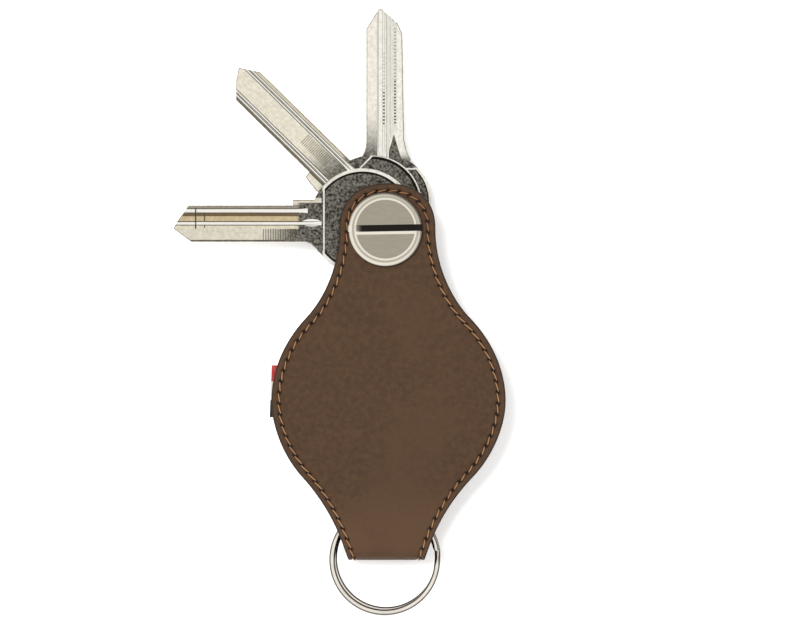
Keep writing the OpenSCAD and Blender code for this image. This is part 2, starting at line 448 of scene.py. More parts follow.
def nickel_material(name, angle, top=None):
    """Nickel plate: finely brushed in the middle, polished outside it, with painted shade on the ring beyond
    the bead and down in the slot.
    """
    material, tree, shader = new_material(name)
    here = place_of(tree)
    turned = add(tree, "VectorRotate", {"Vector": here, "Angle": math.radians(angle)},
                 rotation_type="Z_AXIS").outputs[0]
    lines = noise(tree, stretched(tree, turned, (0.04, 1, 1)), 0.12, 3, 0.7)
    face = between(tree, radius_of(tree, here), BRUSHED_R * MM, (BRUSHED_R + 0.12) * MM, 1, 0)
    brushed = mixed(tree, between(tree, lines, 0.3, 0.7),
                    colour(0.36, 0.325, 0.262), colour(0.44, 0.403, 0.330))
    if top is not None:
        lip = side_mask(tree, axis(tree, turned, "Y"), -1.15, -0.3, 0.05)
        face = calc(tree, "MULTIPLY", face, calc(tree, "SUBTRACT", 1.0, lip))
    # Painted shade: the ring just beyond the bead is darker.
    hollow = between(tree, radius_of(tree, here), 0.00700, 0.00716)
    hollow = calc(tree, "MULTIPLY", hollow, between(tree, radius_of(tree, here), 0.00768, 0.00752))
    rim = mixed(tree, hollow, colour(0.86, 0.82, 0.73), colour(0.50, 0.46, 0.375))
    body = mixed(tree, face, rim, brushed)
    rough = calc(tree, "ADD", 0.13, calc(tree, "MULTIPLY", face, between(tree, lines, 0.2, 0.8, 0.24, 0.32)))
    # Painted shade: dark down in the slot.
    if top is not None:
        deep = between(tree, axis(tree, here, "Z"), (top - 0.55) * MM, (top - 0.8) * MM)
        inner = between(tree, axis(tree, turned, "X"), -0.0072, -0.0052)
        body = mixed(tree, calc(tree, "MULTIPLY", deep, inner), body, colour(0.022, 0.019, 0.017))
    relief = bump(tree, calc(tree, "MULTIPLY", lines, face), 0.008, 0.6)
    feed(tree, shader, Base_Color=body, Metallic=1, Roughness=rough, Normal=relief)
    return material


RIM_COLOUR = colour(0.93, 0.90, 0.82)
TARNISH_DARK = colour(0.020, 0.018, 0.015)
TARNISH_LIGHT = colour(0.250, 0.235, 0.205)


def tumbled(tree, here):
    """Colour of a tumbled, tarnished skin: dark grey with paler speckles and a few bright glints."""
    speckle = noise(tree, here, 0.62, 5, 0.75)
    body = mixed(tree, between(tree, speckle, 0.38, 0.62), TARNISH_DARK, TARNISH_LIGHT)
    glints = between(tree, cells(tree, here, 0.42), 0.16, 0.04, 0, 0.75)
    patches = between(tree, noise(tree, here, 3.2, 3), 0.42, 0.60)
    return mixed(tree, calc(tree, "MULTIPLY", glints, patches), body, colour(0.62, 0.60, 0.55)), speckle


def field_material(floor_z):
    """The sunk field of a bow, painted black as shade in the deeper line round it."""
    material, tree, shader = new_material("key_field")
    here = place_of(tree)
    body, speckle = tumbled(tree, here)
    middle = calc(tree, "ABSOLUTE", calc(tree, "SUBTRACT", axis(tree, here, "Z"), KEY_T / 2 * MM))
    # Painted shade: black in the deeper line round the field.
    deep = between(tree, middle, (KEY_T / 2 - floor_z) * MM, (KEY_T / 2 - floor_z - 0.08) * MM)
    body = mixed(tree, deep, body, colour(0.012, 0.011, 0.010))
    feed(tree, shader, Base_Color=body, Metallic=1, Roughness=0.36, Normal=bump(tree, speckle, 0.09, 0.8))
    return material


def groove_material():
    """Freshly milled groove floors, with faint lines along them."""
    material, tree, shader = new_material("key_groove")
    here = place_of(tree)
    lines = noise(tree, stretched(tree, here, (0.04, 1, 1)), 0.16, 3, 0.6)
    body = mixed(tree, between(tree, lines, 0.3, 0.7), colour(0.88, 0.86, 0.80), colour(1.0, 0.99, 0.96))
    feed(tree, shader, Base_Color=body, Metallic=1, Roughness=0.36, Normal=bump(tree, lines, 0.01, 0.5))
    return material


def wall_shade_material():
    """Groove walls and small cuts, painted dull brown as shade."""
    material, tree, shader = new_material("key_wall_shade")
    here = place_of(tree)
    shade_mottle = noise(tree, here, 0.5, 4, 0.6)
    body = mixed(tree, between(tree, shade_mottle, 0.35, 0.65),
                 colour(0.055, 0.042, 0.026), colour(0.19, 0.155, 0.105))
    feed(tree, shader, Base_Color=body, Metallic=1, Roughness=0.45)
    return material


def edge_shade_material():
    """The broken outer edge of a blade, painted darker than its faces as shade."""
    material, tree, shader = new_material("key_edge_shade")
    edge_mottle = noise(tree, place_of(tree), 1.1, 4, 0.6)
    body = mixed(tree, between(tree, edge_mottle, 0.35, 0.65), colour(0.20, 0.18, 0.14), colour(0.46, 0.42, 0.34))
    feed(tree, shader, Base_Color=body, Metallic=1, Roughness=0.32)
    return material


def side_mask(tree, side, low, high, blur=0.07):
    """One between two sides of the blade, in millimetres, and zero outside them."""
    above = between(tree, side, (low - blur) * MM, (low + blur) * MM)
    below = between(tree, side, (high + blur) * MM, (high - blur) * MM)
    return calc(tree, "MULTIPLY", above, below)


def blade_material(spec):
    """Nickel silver blade: a pale milled skin in strips of other tones, the dark ones along its edges and
    beside its grooves being painted shade, tumbled grey towards the bow.
    """
    material, tree, shader = new_material(spec["node"] + "_blade")
    here = place_of(tree)
    along, side = axis(tree, here, "X"), axis(tree, here, "Y")
    cross_lines = noise(tree, stretched(tree, here, (1, 0.08, 1)), 0.26, 3, 0.6)
    lines = noise(tree, stretched(tree, here, (0.03, 1, 1)), 0.14, 3, 0.65)
    mottle = noise(tree, here, 0.9, 5, 0.7)
    tone = calc(tree, "ADD", calc(tree, "MULTIPLY", cross_lines, 0.15), calc(tree, "MULTIPLY", lines, 0.3))
    tone = between(tree, calc(tree, "ADD", tone, calc(tree, "MULTIPLY", mottle, 0.55)),
                   0.36, 0.62, 0.80, 1.06)
    blade_start, blade_full = 0.0141, 0.0145
    in_blade = between(tree, along, blade_start, blade_full)
    body = mixed(tree, in_blade, RIM_COLOUR, colour(*spec["light"]))
    # The dark strips along the blade's edges and beside its grooves are painted shade.
    for low, high, paint in spec["strips"]:
        strip = calc(tree, "MULTIPLY", side_mask(tree, side, low, high), in_blade)
        body = mixed(tree, strip, body, colour(*paint))
    body = mixed(tree, 1.0, body,
                 add(tree, "CombineColor", {0: tone, 1: tone, 2: tone}).outputs[0], "MULTIPLY")
    grey, _ = tumbled(tree, here)
    for start, end, low, high in spec["tarnish"]:
        neck = calc(tree, "MULTIPLY", between(tree, along, start * MM, end * MM), in_blade)
        neck = calc(tree, "MULTIPLY", neck, side_mask(tree, side, low, high))
        body = mixed(tree, neck, body, grey)
    for apex, middle, spread in spec["wedges"]:
        reach = calc(tree, "MULTIPLY", calc(tree, "SUBTRACT", apex * MM, along), spread)
        off = calc(tree, "ABSOLUTE", calc(tree, "SUBTRACT", side, middle * MM))
        inside = between(tree, calc(tree, "SUBTRACT", reach, off), -0.0001, 0.0001)
        body = mixed(tree, calc(tree, "MULTIPLY", inside, in_blade), body, grey)
    relief = bump(tree, lines, 0.012, 0.6)
    relief = bump(tree, cross_lines, 0.012, 0.6, relief)
    feed(tree, shader, Base_Color=body, Metallic=1, Roughness=0.34, Normal=relief)
    return material


def steel_material(name, light, rough, flank_shade=0.0):
    """Steel with light handling marks, and painted shade: darker by a share where it turns from the camera.
    """
    material, tree, shader = new_material(name)
    here = place_of(tree)
    marks = noise(tree, stretched(tree, here, (1, 1, 0.2)), 0.4, 4, 0.65)
    patches = noise(tree, here, 4, 3)
    body = mixed(tree, between(tree, patches, 0.35, 0.7),
                 colour(*(0.85 * part for part in light)), colour(*light))
    # Painted shade on the flanks, from the Layer Weight's facing.
    facing = add(tree, "LayerWeight", {"Blend": 0.5}).outputs["Facing"]
    body = mixed(tree, between(tree, facing, 0.03, 0.24, 0, flank_shade), body, colour(0.075, 0.06, 0.05))
    feed(tree, shader, Base_Color=body, Metallic=1, Normal=bump(tree, marks, 0.012, 0.6),
         Roughness=between(tree, marks, 0.3, 0.7, rough, rough + 0.1))
    return material


# ---------------------------------------------------------------- the folded strip

WAIST_R = (BELLY_DROP ** 2 + NECK_R ** 2 - BELLY_R ** 2) / (2 * (BELLY_R - NECK_R))
WAIST_X = NECK_R + WAIST_R
WAIST_SIN = BELLY_DROP / (BELLY_R + WAIST_R)
CORNER_SPAN = math.hypot(FOLD_HALF_W, FOLD_DROP - BELLY_DROP)
CORNER_ANGLE = math.atan2(BELLY_DROP - FOLD_DROP, FOLD_HALF_W)
REACH = BELLY_R + TAIL_R
TAIL_ANGLE = CORNER_ANGLE + math.acos(
    (CORNER_SPAN ** 2 + REACH ** 2 - TAIL_R ** 2) / (2 * CORNER_SPAN * REACH))
TAIL_X = REACH * math.cos(TAIL_ANGLE)
TAIL_Y = -BELLY_DROP + REACH * math.sin(TAIL_ANGLE)

# Distances along the strip from the top of its front: to the neck's end, the fold's start and its middle
NECK_END = NECK_R * math.pi / 2
FOLD_START = NECK_END - FOLD_Y
FOLD_MIDDLE = FOLD_START + FOLD_R * math.pi / 2


def smooth_step(t):
    """From 0 to 1 along half a cosine wave, and level outside that."""
    return (1 - np.cos(np.pi * np.clip(t, 0, 1))) / 2


def half_height(y):
    """Half the height of the folded wrap at a place along it."""
    upper = PIVOT_HALF + (BELLY_HALF - PIVOT_HALF) * smooth_step((FLAT_Y - y) / (FLAT_Y + BELLY_DROP))
    lower = BELLY_HALF - (BELLY_HALF - FOLD_R) * smooth_step((-BELLY_DROP - y) / (-BELLY_DROP - FOLD_Y))
    return np.where(y > -BELLY_DROP, upper, lower)


def half_width(y, inset):
    """Half the strip's width below the neck, for a line inside its edge."""
    waist = WAIST_X - np.sqrt(np.maximum((WAIST_R + inset) ** 2 - y ** 2, 0))
    belly = np.sqrt(np.maximum((BELLY_R - inset) ** 2 - (y + BELLY_DROP) ** 2, 0))
    tail = TAIL_X - np.sqrt(np.maximum((TAIL_R + inset) ** 2 - (y - TAIL_Y) ** 2, 0))
    above_belly = y > -BELLY_DROP + (BELLY_R - inset) * WAIST_SIN
    above_tail = y > -BELLY_DROP + (BELLY_R - inset) * math.sin(TAIL_ANGLE)
    return np.where(above_belly, waist, np.where(above_tail, belly, tail)) + hand_cut(y)


def hand_cut(y):
    """How much the cut edge departs from true arcs: fuller at the belly, slimmer at the shoulders."""
    fuller = 0.24 * np.exp(-((y + 40) / 7) ** 2)
    slimmer = 0.28 * np.exp(-((y + 21) / 7) ** 2)
    return fuller - slimmer


def lean(y):
    """How far the strip's middle lies to the right of the post."""
    belly = LEAN_BELLY * smooth_step(-y / BELLY_DROP)
    return LEAN_NECK + belly - LEAN_FOLD * smooth_step((-BELLY_DROP - y) / (FOLD_DROP - BELLY_DROP))


def on_strip(t, inset, depth):
    """Half width, y and height over the middle plane, at t along the strip's front half."""
    angle = np.pi / 2 * (1 - np.clip(t / NECK_END, 0, 1))
    turn = np.maximum(t - FOLD_START, 0) / FOLD_R
    panel_y = np.where(t < FOLD_START, NECK_END - t, FOLD_Y - (FOLD_R - depth) * np.sin(turn))
    neck_y = (NECK_R - inset) * NECK_SQUASH * np.sin(angle) ** NECK_SQUARENESS
    neck_x = (NECK_R - inset) * np.cos(angle) ** NECK_SQUARENESS
    y = np.where(t < NECK_END, neck_y, panel_y)
    x = np.where(t < NECK_END, neck_x, half_width(y, inset))
    z = np.where(t < FOLD_START, half_height(y) - depth, (FOLD_R - depth) * np.cos(turn))
    return x, y, z


def seam_inset(t):
    """Distance of the seam from the edge, narrower towards the fold."""
    return SEAM_INSET - 0.4 * smooth_step((t - FOLD_START + 22) / 22)


seam_t = np.linspace(0, FOLD_MIDDLE, 1200)
seam_line = np.stack(on_strip(seam_t, seam_inset(seam_t), 0.0), -1)
seam_s = np.concatenate([[0], np.cumsum(np.linalg.norm(np.diff(seam_line, axis=0), axis=1))])
STITCHES = round(seam_s[-1] / STITCH_PITCH)
PITCH = seam_s[-1] / STITCHES


def seam_relief(t, inset):
    """Depth of the seam's furrow and of its stitch holes, and how much painted shade they put on the
    leather.
    """
    s = np.interp(t, seam_t, seam_s)
    along = (s / PITCH - np.round(s / PITCH)) * PITCH
    across = inset - seam_inset(t)
    furrow = 0.12 * np.exp(-(across / 0.5) ** 2)
    hole = np.exp(-(across ** 2 + along ** 2) / 0.42 ** 2)
    return furrow + 0.45 * hole, 1.5 * hole + 0.35 * np.exp(-(across / 0.36) ** 2)


def section(top, bottom, edge_inset):
    """The loop round a layer's section: share of the half width, inset, depth, and the face it is on."""
    rounding = (bottom - top) / 4
    band_end = 4.2
    band = edge_inset + rounding + np.linspace(0, 1, 20) * (band_end - edge_inset - rounding)
    across = np.linspace(-1, 1, 33)[1:-1]
    shares = np.concatenate([-np.ones(len(band)), across, np.ones(len(band))])
    insets = np.concatenate([band, np.full(len(across), band_end), band[::-1]])
    face = np.stack([shares, insets, np.full(len(shares), top), np.ones(len(shares))], -1)
    turn = np.radians(np.linspace(0, 90, 6))
    upper = np.stack([edge_inset + rounding * (1 - np.sin(turn)),
                      top + rounding * (1 - np.cos(turn))], -1)
    lower = np.stack([edge_inset + rounding * (1 - np.cos(turn)),
                      bottom - rounding * (1 - np.sin(turn))], -1)
    rim = np.concatenate([upper[1:], lower[:-1]])
    right = np.column_stack([np.ones(len(rim)), rim, np.zeros(len(rim))])
    under = face[::-1] * [1, 1, 0, -1] + [0, 0, bottom, 0]
    left = right[::-1] * [-1, 1, 1, 1]
    return np.concatenate([face, right, under, left])


def waves(x, y):
    """Slow, shallow unevenness of a used leather panel."""
    return 0.07 * np.sin(x / 6.1 + 0.7) * np.sin(y / 8.3) + 0.05 * np.sin((x + 1.7 * y) / 9.7 + 2.1)


def strip_layer(name, top, bottom, edge_inset, seamed_faces):
    """One layer of the folded strip, between two depths, as a closed skin."""
    loop = section(top, bottom, edge_inset)
    step = 0.26
    t_front = np.linspace(0, FOLD_MIDDLE, round(FOLD_MIDDLE / step))
    t = np.concatenate([t_front, t_front[-2::-1]])[:, None]
    side = np.where(np.arange(len(t)) < len(t_front), 1.0, -1.0)[:, None]
    share, inset, depth, face = (loop[None, :, i] for i in range(4))
    relief, hole = seam_relief(t, inset)
    seamed = np.isin(face, seamed_faces)
    x0, y0, _ = on_strip(t, inset, depth)
    ease = np.clip((inset - edge_inset) / 3, 0, 1) * (face != 0)
    swell = (ease * waves(share * x0, y0) * np.clip((-y0 - 12) / 10, 0, 1)
             * np.clip((FOLD_MIDDLE - t) / 20, 0, 1))
    deeper = depth + np.where(seamed, face * relief, 0) - swell
    x, y, z = on_strip(t, inset, deeper)
    points = np.stack([share * x + lean(y), y, MID_Z + side * z], -1)
    rows, columns = points.shape[:2]
    obj = new_object(name, points.reshape(-1, 3), grid_faces(rows, columns).tolist(), 60)
    edge = np.where(face == 0, 1, np.clip(1 - (inset - edge_inset - 0.1) / 0.3, 0, 1))
    edge = np.broadcast_to(edge, (rows, columns))
    put_attribute(obj, "edge", edge)
    # The seam attribute carries the painted shade of the stitch holes and furrow.
    put_attribute(obj, "seam", np.where(seamed, hole, 0))
    edit_mesh(obj, weld)
    combine(obj, "DIFFERENCE", disc(0, 0, POST_HOLE_R, -5, 25, 64))
    shade(obj, 60)
    return obj


def put_attribute(obj, name, values):
    """A number at each point of the mesh, for its material."""
    layer = obj.data.attributes.new(name, "FLOAT", "POINT")
    layer.data.foreach_set("value", np.ascontiguousarray(values, np.float32).ravel())


def weld(bm):
    """Closes the strip's two ends, where left and right meet."""
    bmesh.ops.remove_doubles(bm, verts=bm.verts, dist=0.004 * MM)
    bmesh.ops.dissolve_degenerate(bm, edges=bm.edges, dist=0.001 * MM)
    fix_normals(bm)


def stitch_shell(number, side, face, inner):
    """One stitch from hole to hole: side is right or left, face front or back, inner on the lining."""
    u = np.linspace(0, 1, STITCH_RINGS)
    t = np.interp((number + u) * PITCH, seam_s, seam_t)
    height = THREAD_RISE - THREAD_DIP * np.abs(2 * u - 1) ** 5
    inset = seam_inset(t) - STITCH_SLANT * (u - 0.5) * side
    base = PANEL_T if inner else 0.0
    outward = -1 if inner else 1

    def at(lift):
        x, y, z = on_strip(t, inset, base - outward * lift)
        return np.stack([side * x + lean(y), y, MID_Z + face * z], -1)

    centres = at(height)
    normals = unit(at(height + 0.5) - centres)
    turn = full_turn(STITCH_CORNERS)
    ply = 1 + 0.13 * np.cos(3 * turn[None] + 9 * u[:, None])
    ends = 1 - 0.35 * np.abs(2 * u - 1)[:, None] ** 8
    shape = THREAD_R * ply * ends
    return sweep(centres, normals, np.stack([shape * np.cos(turn), 0.85 * shape * np.sin(turn)], -1))


def stitching(face):
    """All the stitches of one panel and its half of the fold."""
    shells = [stitch_shell(number, side, face, inner)
              for inner in (False, True) for side in (-1, 1) for number in range(STITCHES)]
    obj = new_object("stitching", *join_shells(shells), 70)
    along = np.repeat(np.abs(np.linspace(-1, 1, STITCH_RINGS)), STITCH_CORNERS)
    # The sunk attribute marks the stitch ends for the thread's painted shade.
    put_attribute(obj, "sunk", np.tile(np.clip((along - 0.70) / 0.12, 0, 1), len(shells)))
    edit_mesh(obj, fix_normals)
    return obj


def side_tab():
    """A folded tape let in at the left edge, with its fold outwards."""
    low, high = box_mm("side_tab")
    thickness = (high.z - low.z) / 2
    y = np.linspace(low.y, high.y, 60)
    middle = (low.y + high.y) / 2
    edge = -half_width(np.array([middle]), 0.0)[0] + lean(np.array([middle]))[0]
    outer = low.x + 0.35 + (y - middle) * math.tan(math.radians(2.2))
    z = (low.z + high.z) / 2
    reach_in = 2.6
    flat_x = np.linspace(edge + reach_in, low.x + thickness, 14)
    turn = np.radians(np.linspace(90, 270, 13))
    upper = np.column_stack([flat_x, np.full(len(flat_x), thickness)])
    bend = np.column_stack([low.x + thickness + thickness * np.cos(turn), thickness * np.sin(turn)])[1:-1]
    lower = upper[::-1] * [1, -1]
    loop = np.concatenate([upper, bend, lower])
    shift = (outer - low.x)[:, None]
    wavy = 0.03 * np.sin(y * 2.1)[:, None]
    points = np.stack([
        loop[None, :, 0] + shift,
        np.repeat(y[:, None], len(loop), 1),
        z + loop[None, :, 1] * 0.9 + wavy], -1)
    return solid("tab", points.reshape(-1, 3), tube_faces(*points.shape[:2]), 50)


# ---------------------------------------------------------------- the post and its screw

def head_profile(top, sign, thickness):
    """Half section of a head, from its middle out: face, low bead and polished chamfer."""
    steps = [(0, 0.05), (6.45, 0.05), (6.6, 0.05), (6.7, 0.02), (6.78, 0), (6.95, 0), (7.06, 0.03),
             (7.15, 0.08), (7.3, 0.11), (7.45, 0.14), (7.6, 0.2),
             (HEAD_R - 0.22, 0.52), (HEAD_R - 0.07, 0.64), (HEAD_R, 0.8),
             (HEAD_R, thickness - 0.12), (HEAD_R - 0.12, thickness)]
    return [(r, top - sign * drop) for r, drop in steps]


def slotted_screw():
    """Front head with its slot, and the shank that goes into the barrel."""
    head_t, shank_r = 1.6, 2.0
    top, shank_end = screw_high.z, screw_low.z
    base = top - head_t
    profile = head_profile(top, 1, head_t)
    profile += [(shank_r + 0.2, base), (shank_r, base - 0.2), (shank_r, shank_end + 0.3),
                (shank_r - 0.3, shank_end), (0, shank_end)]
    head = lathe("screw", profile)
    cut = [(1.0, 0.5), (1.0, -1.1), (-0.5, -1.1), (-0.5, -0.2), (-1.2, -0.02), (-1.2, 0.5)]
    slot = prism([(z, y) for y, z in cut], -HEAD_R - 1, HEAD_R + 1)
    # the prism runs along Z, so its outline is turned to stand across the head
    slot.data.transform(Matrix(((0, 0, 1, 0), (0, 1, 0, 0), (1, 0, 0, 0), (0, 0, 0, 1))))
    slot.data.transform(Matrix.Rotation(math.radians(1), 4, "Z"))
    slot.data.transform(Matrix.Translation((0, 0, top * MM)))
    edit_mesh(slot, fix_normals)
    combine(head, "DIFFERENCE", slot)
    soften(head, 0.05)
    shade(head, 25)
    return head


def binding_post():
    """Rear head and bored barrel."""
    head_t, bore_r, barrel_r, floor_z = 1.4, 2.05, 3.0, 5.0
    top = box_mm("binding_post")[1].z
    profile = head_profile(0, -1, head_t)
    profile += [(barrel_r + 0.15, head_t), (barrel_r, 1.55), (barrel_r, top - 0.25), (barrel_r - 0.25, top),
                (bore_r + 0.2, top), (bore_r, top - 0.2), (bore_r, floor_z), (0, floor_z - 0.6)]
    return lathe("post", profile)


# ---------------------------------------------------------------- the keys

EYE_R = 6.0
FIELD_END = 14.0
CUTTER_R = 14.0
FIELD_DEPTH = 0.25
LINE_DEPTH = 0.4
RIM_CHAMFER = 0.2
WALL_LEAN = 0.5

# Each key lies along +X from the post. Its bow is (along, side, radius), with a rim and a deeper line
# inside it of given widths, the line painted black as shade. Grooves are (side, floor width, run-out,
# depth). Ovals are shallow hollows as (along, side, half length, half width, depth). Cuts are rows of
# small blocks as (first, last, pitch, from side, to side, width, depth, material). Its skin is a pale
# colour with strips as (from side, to side, colour), the dark strips along an edge or beside a groove
# being painted shade, tarnish as (start, end, from side, to side) and grey wedges as (apex, side, spread).
BLADE, GROOVE, FIELD, WALL_SHADE, EDGE_SHADE = range(5)
KEYS = [
    {"node": "key_left", "body": "left_key", "angle": 180, "bow": (5.2, -1.9, 12.05),
     "rim": 0.75, "line": 0.45,
     "shank": [(5.2, -7.4), (14.9, -7.4), (14.9, -6.8), (21, -6.8), (21, -5.5), (44.8, -5.5),
               (47.6, -1.5), (48.2, -0.2), (44.2, 2.75), (18.3, 2.75), (17, 3.2), (15.6, 4.6),
               (13.2, 7.1), (5.2, 7.1)],
     "grooves": [(-4.28, 0.75, 20.8, 0.35), (-1.42, 0.6, 17.4, 0.4)],
     "ovals": [(16.8, -1.55, 2.2, 0.85, 0.1)],
     "cuts": [(43, 43.5, 2, -4.9, -0.2, 0.3, 0.45, WALL_SHADE), (41, 41.5, 2, -4.2, -0.4, 0.22, 0.3, WALL_SHADE),
              (20.4, 28, 0.56, -0.1, 2.4, 0.16, 0.05, WALL_SHADE)],
     "light": (0.78, 0.735, 0.62),
     "strips": [(-5.6, -4.8, (0.36, 0.325, 0.265)), (-3.75, -3.0, (0.185, 0.135, 0.075)),
                (-3.0, -1.9, (0.66, 0.535, 0.335)), (-1.0, -0.2, (0.82, 0.745, 0.59)),
                (2.35, 2.8, (0.06, 0.045, 0.03))],
     "tarnish": [(29, 19.5, -0.15, 12), (20.3, 19.3, -6.1, -0.15), (17.2, 16.2, -12, -7.2)], "wedges": []},
    {"node": "key_diagonal", "body": "diagonal_key", "angle": 135.5, "bow": (6.2, -2, 11.25),
     "rim": 0.3, "line": 0.6,
     "shank": [(6.2, -5.6), (45.6, -5.6), (49.8, -2.9), (48.2, -0.5), (45.1, 2.8), (21.6, 2.8),
               (21.5, 4.2), (17.6, 4.75), (16.5, 4.5), (6.2, 4.5)],
     "grooves": [(-4.58, 0.3, 18, 0.3), (-3.85, 0.32, 18, 0.35),
                 (1.2, 0.32, 18, 0.35), (1.92, 0.3, 18, 0.3)],
     "ovals": [],
     "cuts": [(20.2, 27.6, 0.46, -3.2, -0.5, 0.13, 0.04, WALL_SHADE)],
     "light": (0.88, 0.83, 0.70),
     "strips": [(-5.7, -4.95, (0.72, 0.65, 0.49)), (2.25, 2.9, (0.17, 0.14, 0.10))],
     "tarnish": [(27, 15.5, -3.5, 0.9), (19, 17.6, -12, -4.95), (18, 15.5, 2.3, 12)], "wedges": []},
    {"node": "key_up", "body": "up_key", "angle": 90, "bow": (6.6, 0.4, 10.9),
     "rim": 0.6, "line": 0.25,
     "shank": [(6.6, -5.7), (16.2, -5.7), (17.9, -4.85), (20.8, -4.2), (44.9, -3.8), (47.3, -2.75),
               (49, -0.7), (50.6, 0.85), (50.65, 1.5), (46, 4.4), (20, 4.4), (18.3, 4.7), (17, 5.3),
               (16.2, 6.3), (6.6, 6.3)],
     "grooves": [(1.75, 0.2, 19, 0.14), (0.41, 0.42, 19, 0.14), (-0.55, 0.38, 17, 0.13),
                 (-1.28, 0.3, 22, 0.12), (-2.15, 0.36, 24, 0.16)],
     "ovals": [],
     "cuts": [(24.2, 31.5, 0.78, 0.24, 0.58, 0.36, 0.5, WALL_SHADE), (32, 41, 0.82, 0.28, 0.5, 0.2, 0.3, EDGE_SHADE),
              (24.4, 34, 0.72, -2.4, -1.9, 0.3, 0.5, WALL_SHADE), (34.2, 46, 0.78, -2.3, -2.0, 0.24, 0.3, EDGE_SHADE)],
     "light": (0.97, 0.925, 0.84),
     "strips": [(-4.5, 1.6, (0.97, 0.95, 0.87)), (-0.36, -0.2, (0.50, 0.42, 0.28))],
     "tarnish": [(28, 15, 1.9, 12), (18, 15.6, -12, -3.4)], "wedges": [(21.9, -1.9, 0.30)]},
]


def block(x0, x1, y0, y1, z0, z1):
    """A box between two places along each axis."""
    return prism([(x0, y0), (x1, y0), (x1, y1), (x0, y1)], z0, z1)


def drawn_in(outline, distance):
    """The outline, running anticlockwise, with every side moved in by a distance."""
    points = np.array(outline, float)
    ahead = unit(np.roll(points, -1, 0) - points)
    inward = np.stack([-ahead[:, 1], ahead[:, 0]], -1)
    before = np.roll(inward, 1, 0)
    share = 1 + np.sum(inward * before, 1, keepdims=True)
    return points + distance * (inward + before) / share


def chamfered(outline, thickness, chamfer):
    """A plate over an outline, with both its rims chamfered."""
    small = drawn_in(outline, chamfer)
    large = np.array(outline, float)
    levels = [(small, 0), (large, chamfer), (large, thickness - chamfer), (small, thickness)]
    points = np.concatenate([np.column_stack([ring, np.full(len(ring), z)]) for ring, z in levels])
    return solid("plate", points, tube_faces(len(levels), len(large)))


def marked(cutter, materials, index):
    """Gives a cutter the key's materials, so that what it cuts comes out in one of them."""
    cutter.data.materials.clear()
    for material in materials:
        cutter.data.materials.append(material)
    cutter.data.polygons.foreach_set("material_index", np.full(len(cutter.data.polygons), index))
    return cutter


def face_band(face, depth):
    """Heights between which a cutter takes a depth off the upper or lower face."""
    return (KEY_T - depth, KEY_T + 1) if face > 0 else (-1, depth)


def row_cutter(first, last, pitch, start, end, width, low, high):
    """A row of small blocks across the blade, as one mesh."""
    shells = []
    for along in np.arange(first, last, pitch):
        x = (along, along + width)
        corners = [(x[i], y, z) for z in (low, high)
                   for i, y in ((0, start), (1, start), (1, end), (0, end))]
        shells.append((np.array(corners), tube_faces(2, 4)))
    return solid("row", *join_shells(shells))


def field_cutter(bow, radius, end, keep_eye, face, depth):
    """A sunk area of the bow, cut off straight towards the blade."""
    x, y, _ = bow
    low, high = face_band(face, depth)
    cutter = disc(x, y, radius, low, high)
    combine(cutter, "DIFFERENCE", block(end, 40, -30, 30, low - 1, high + 1))
    if keep_eye:
        combine(cutter, "DIFFERENCE", disc(0, 0, EYE_R - 0.3, low - 1, high + 1))
    return cutter


def bow_relief(key, spec, face, materials):
    """The sunk field inside the rim, a deeper line round it, and a bead where it meets the blade."""
    bow, rim, line = spec["bow"], spec["rim"], spec["line"]
    radius = bow[2]
    field = field_cutter(bow, radius - rim, FIELD_END - 0.17, True, face, FIELD_DEPTH)
    deep = field_cutter(bow, radius - rim, FIELD_END - 0.17, False, face, LINE_DEPTH)
    combine(deep, "DIFFERENCE", field_cutter(bow, radius - rim - line, 40, False, face, 2))
    beyond = field_cutter(bow, radius - rim, FIELD_END + 0.55, False, face, 0.2)
    combine(beyond, "DIFFERENCE", block(-40, FIELD_END + 0.17, -30, 30, -3, 5))
    combine(key, "DIFFERENCE", *[marked(cutter, materials, FIELD) for cutter in (field, deep, beyond)])


def groove_cutter(side, width, run_out, depth, face, materials):
    """A groove with leaning walls, milled in from the tip by a disc cutter with a round run-out."""
    low, high = face_band(face, depth)
    straight = [(80, low), (run_out, low)] if face > 0 else [(80, high), (run_out, high)]
    centre_z = low + CUTTER_R if face > 0 else high - CUTTER_R
    swing = np.radians(np.linspace(0, 22, 12)[1:])
    arc = [(run_out - CUTTER_R * math.sin(a), centre_z - face * CUTTER_R * math.cos(a)) for a in swing]
    rim = arc[-1]
    far = high if face > 0 else low
    outline = straight + arc + [(rim[0], far), (80, far)]
    cutter = prism([(x, z) for x, z in outline], -1, 1)
    # the prism's own Z becomes the key's side
    cutter.data.transform(Matrix(((1, 0, 0, 0), (0, 0, 1, 0), (0, 1, 0, 0), (0, 0, 0, 1))))
    floor_z = low if face > 0 else high
    for vertex in cutter.data.vertices:
        lift = abs(vertex.co.z / MM - floor_z)
        half = width / 2 + WALL_LEAN * lift
        vertex.co.y = (side + math.copysign(half, vertex.co.y)) * MM
    edit_mesh(cutter, fix_normals)
    marked(cutter, materials, GROOVE)
    # The groove's walls take the wall material, painted dark brown as shade.
    for polygon in cutter.data.polygons:
        if abs(polygon.normal.y) > 0.5:
            polygon.material_index = WALL_SHADE
    return cutter


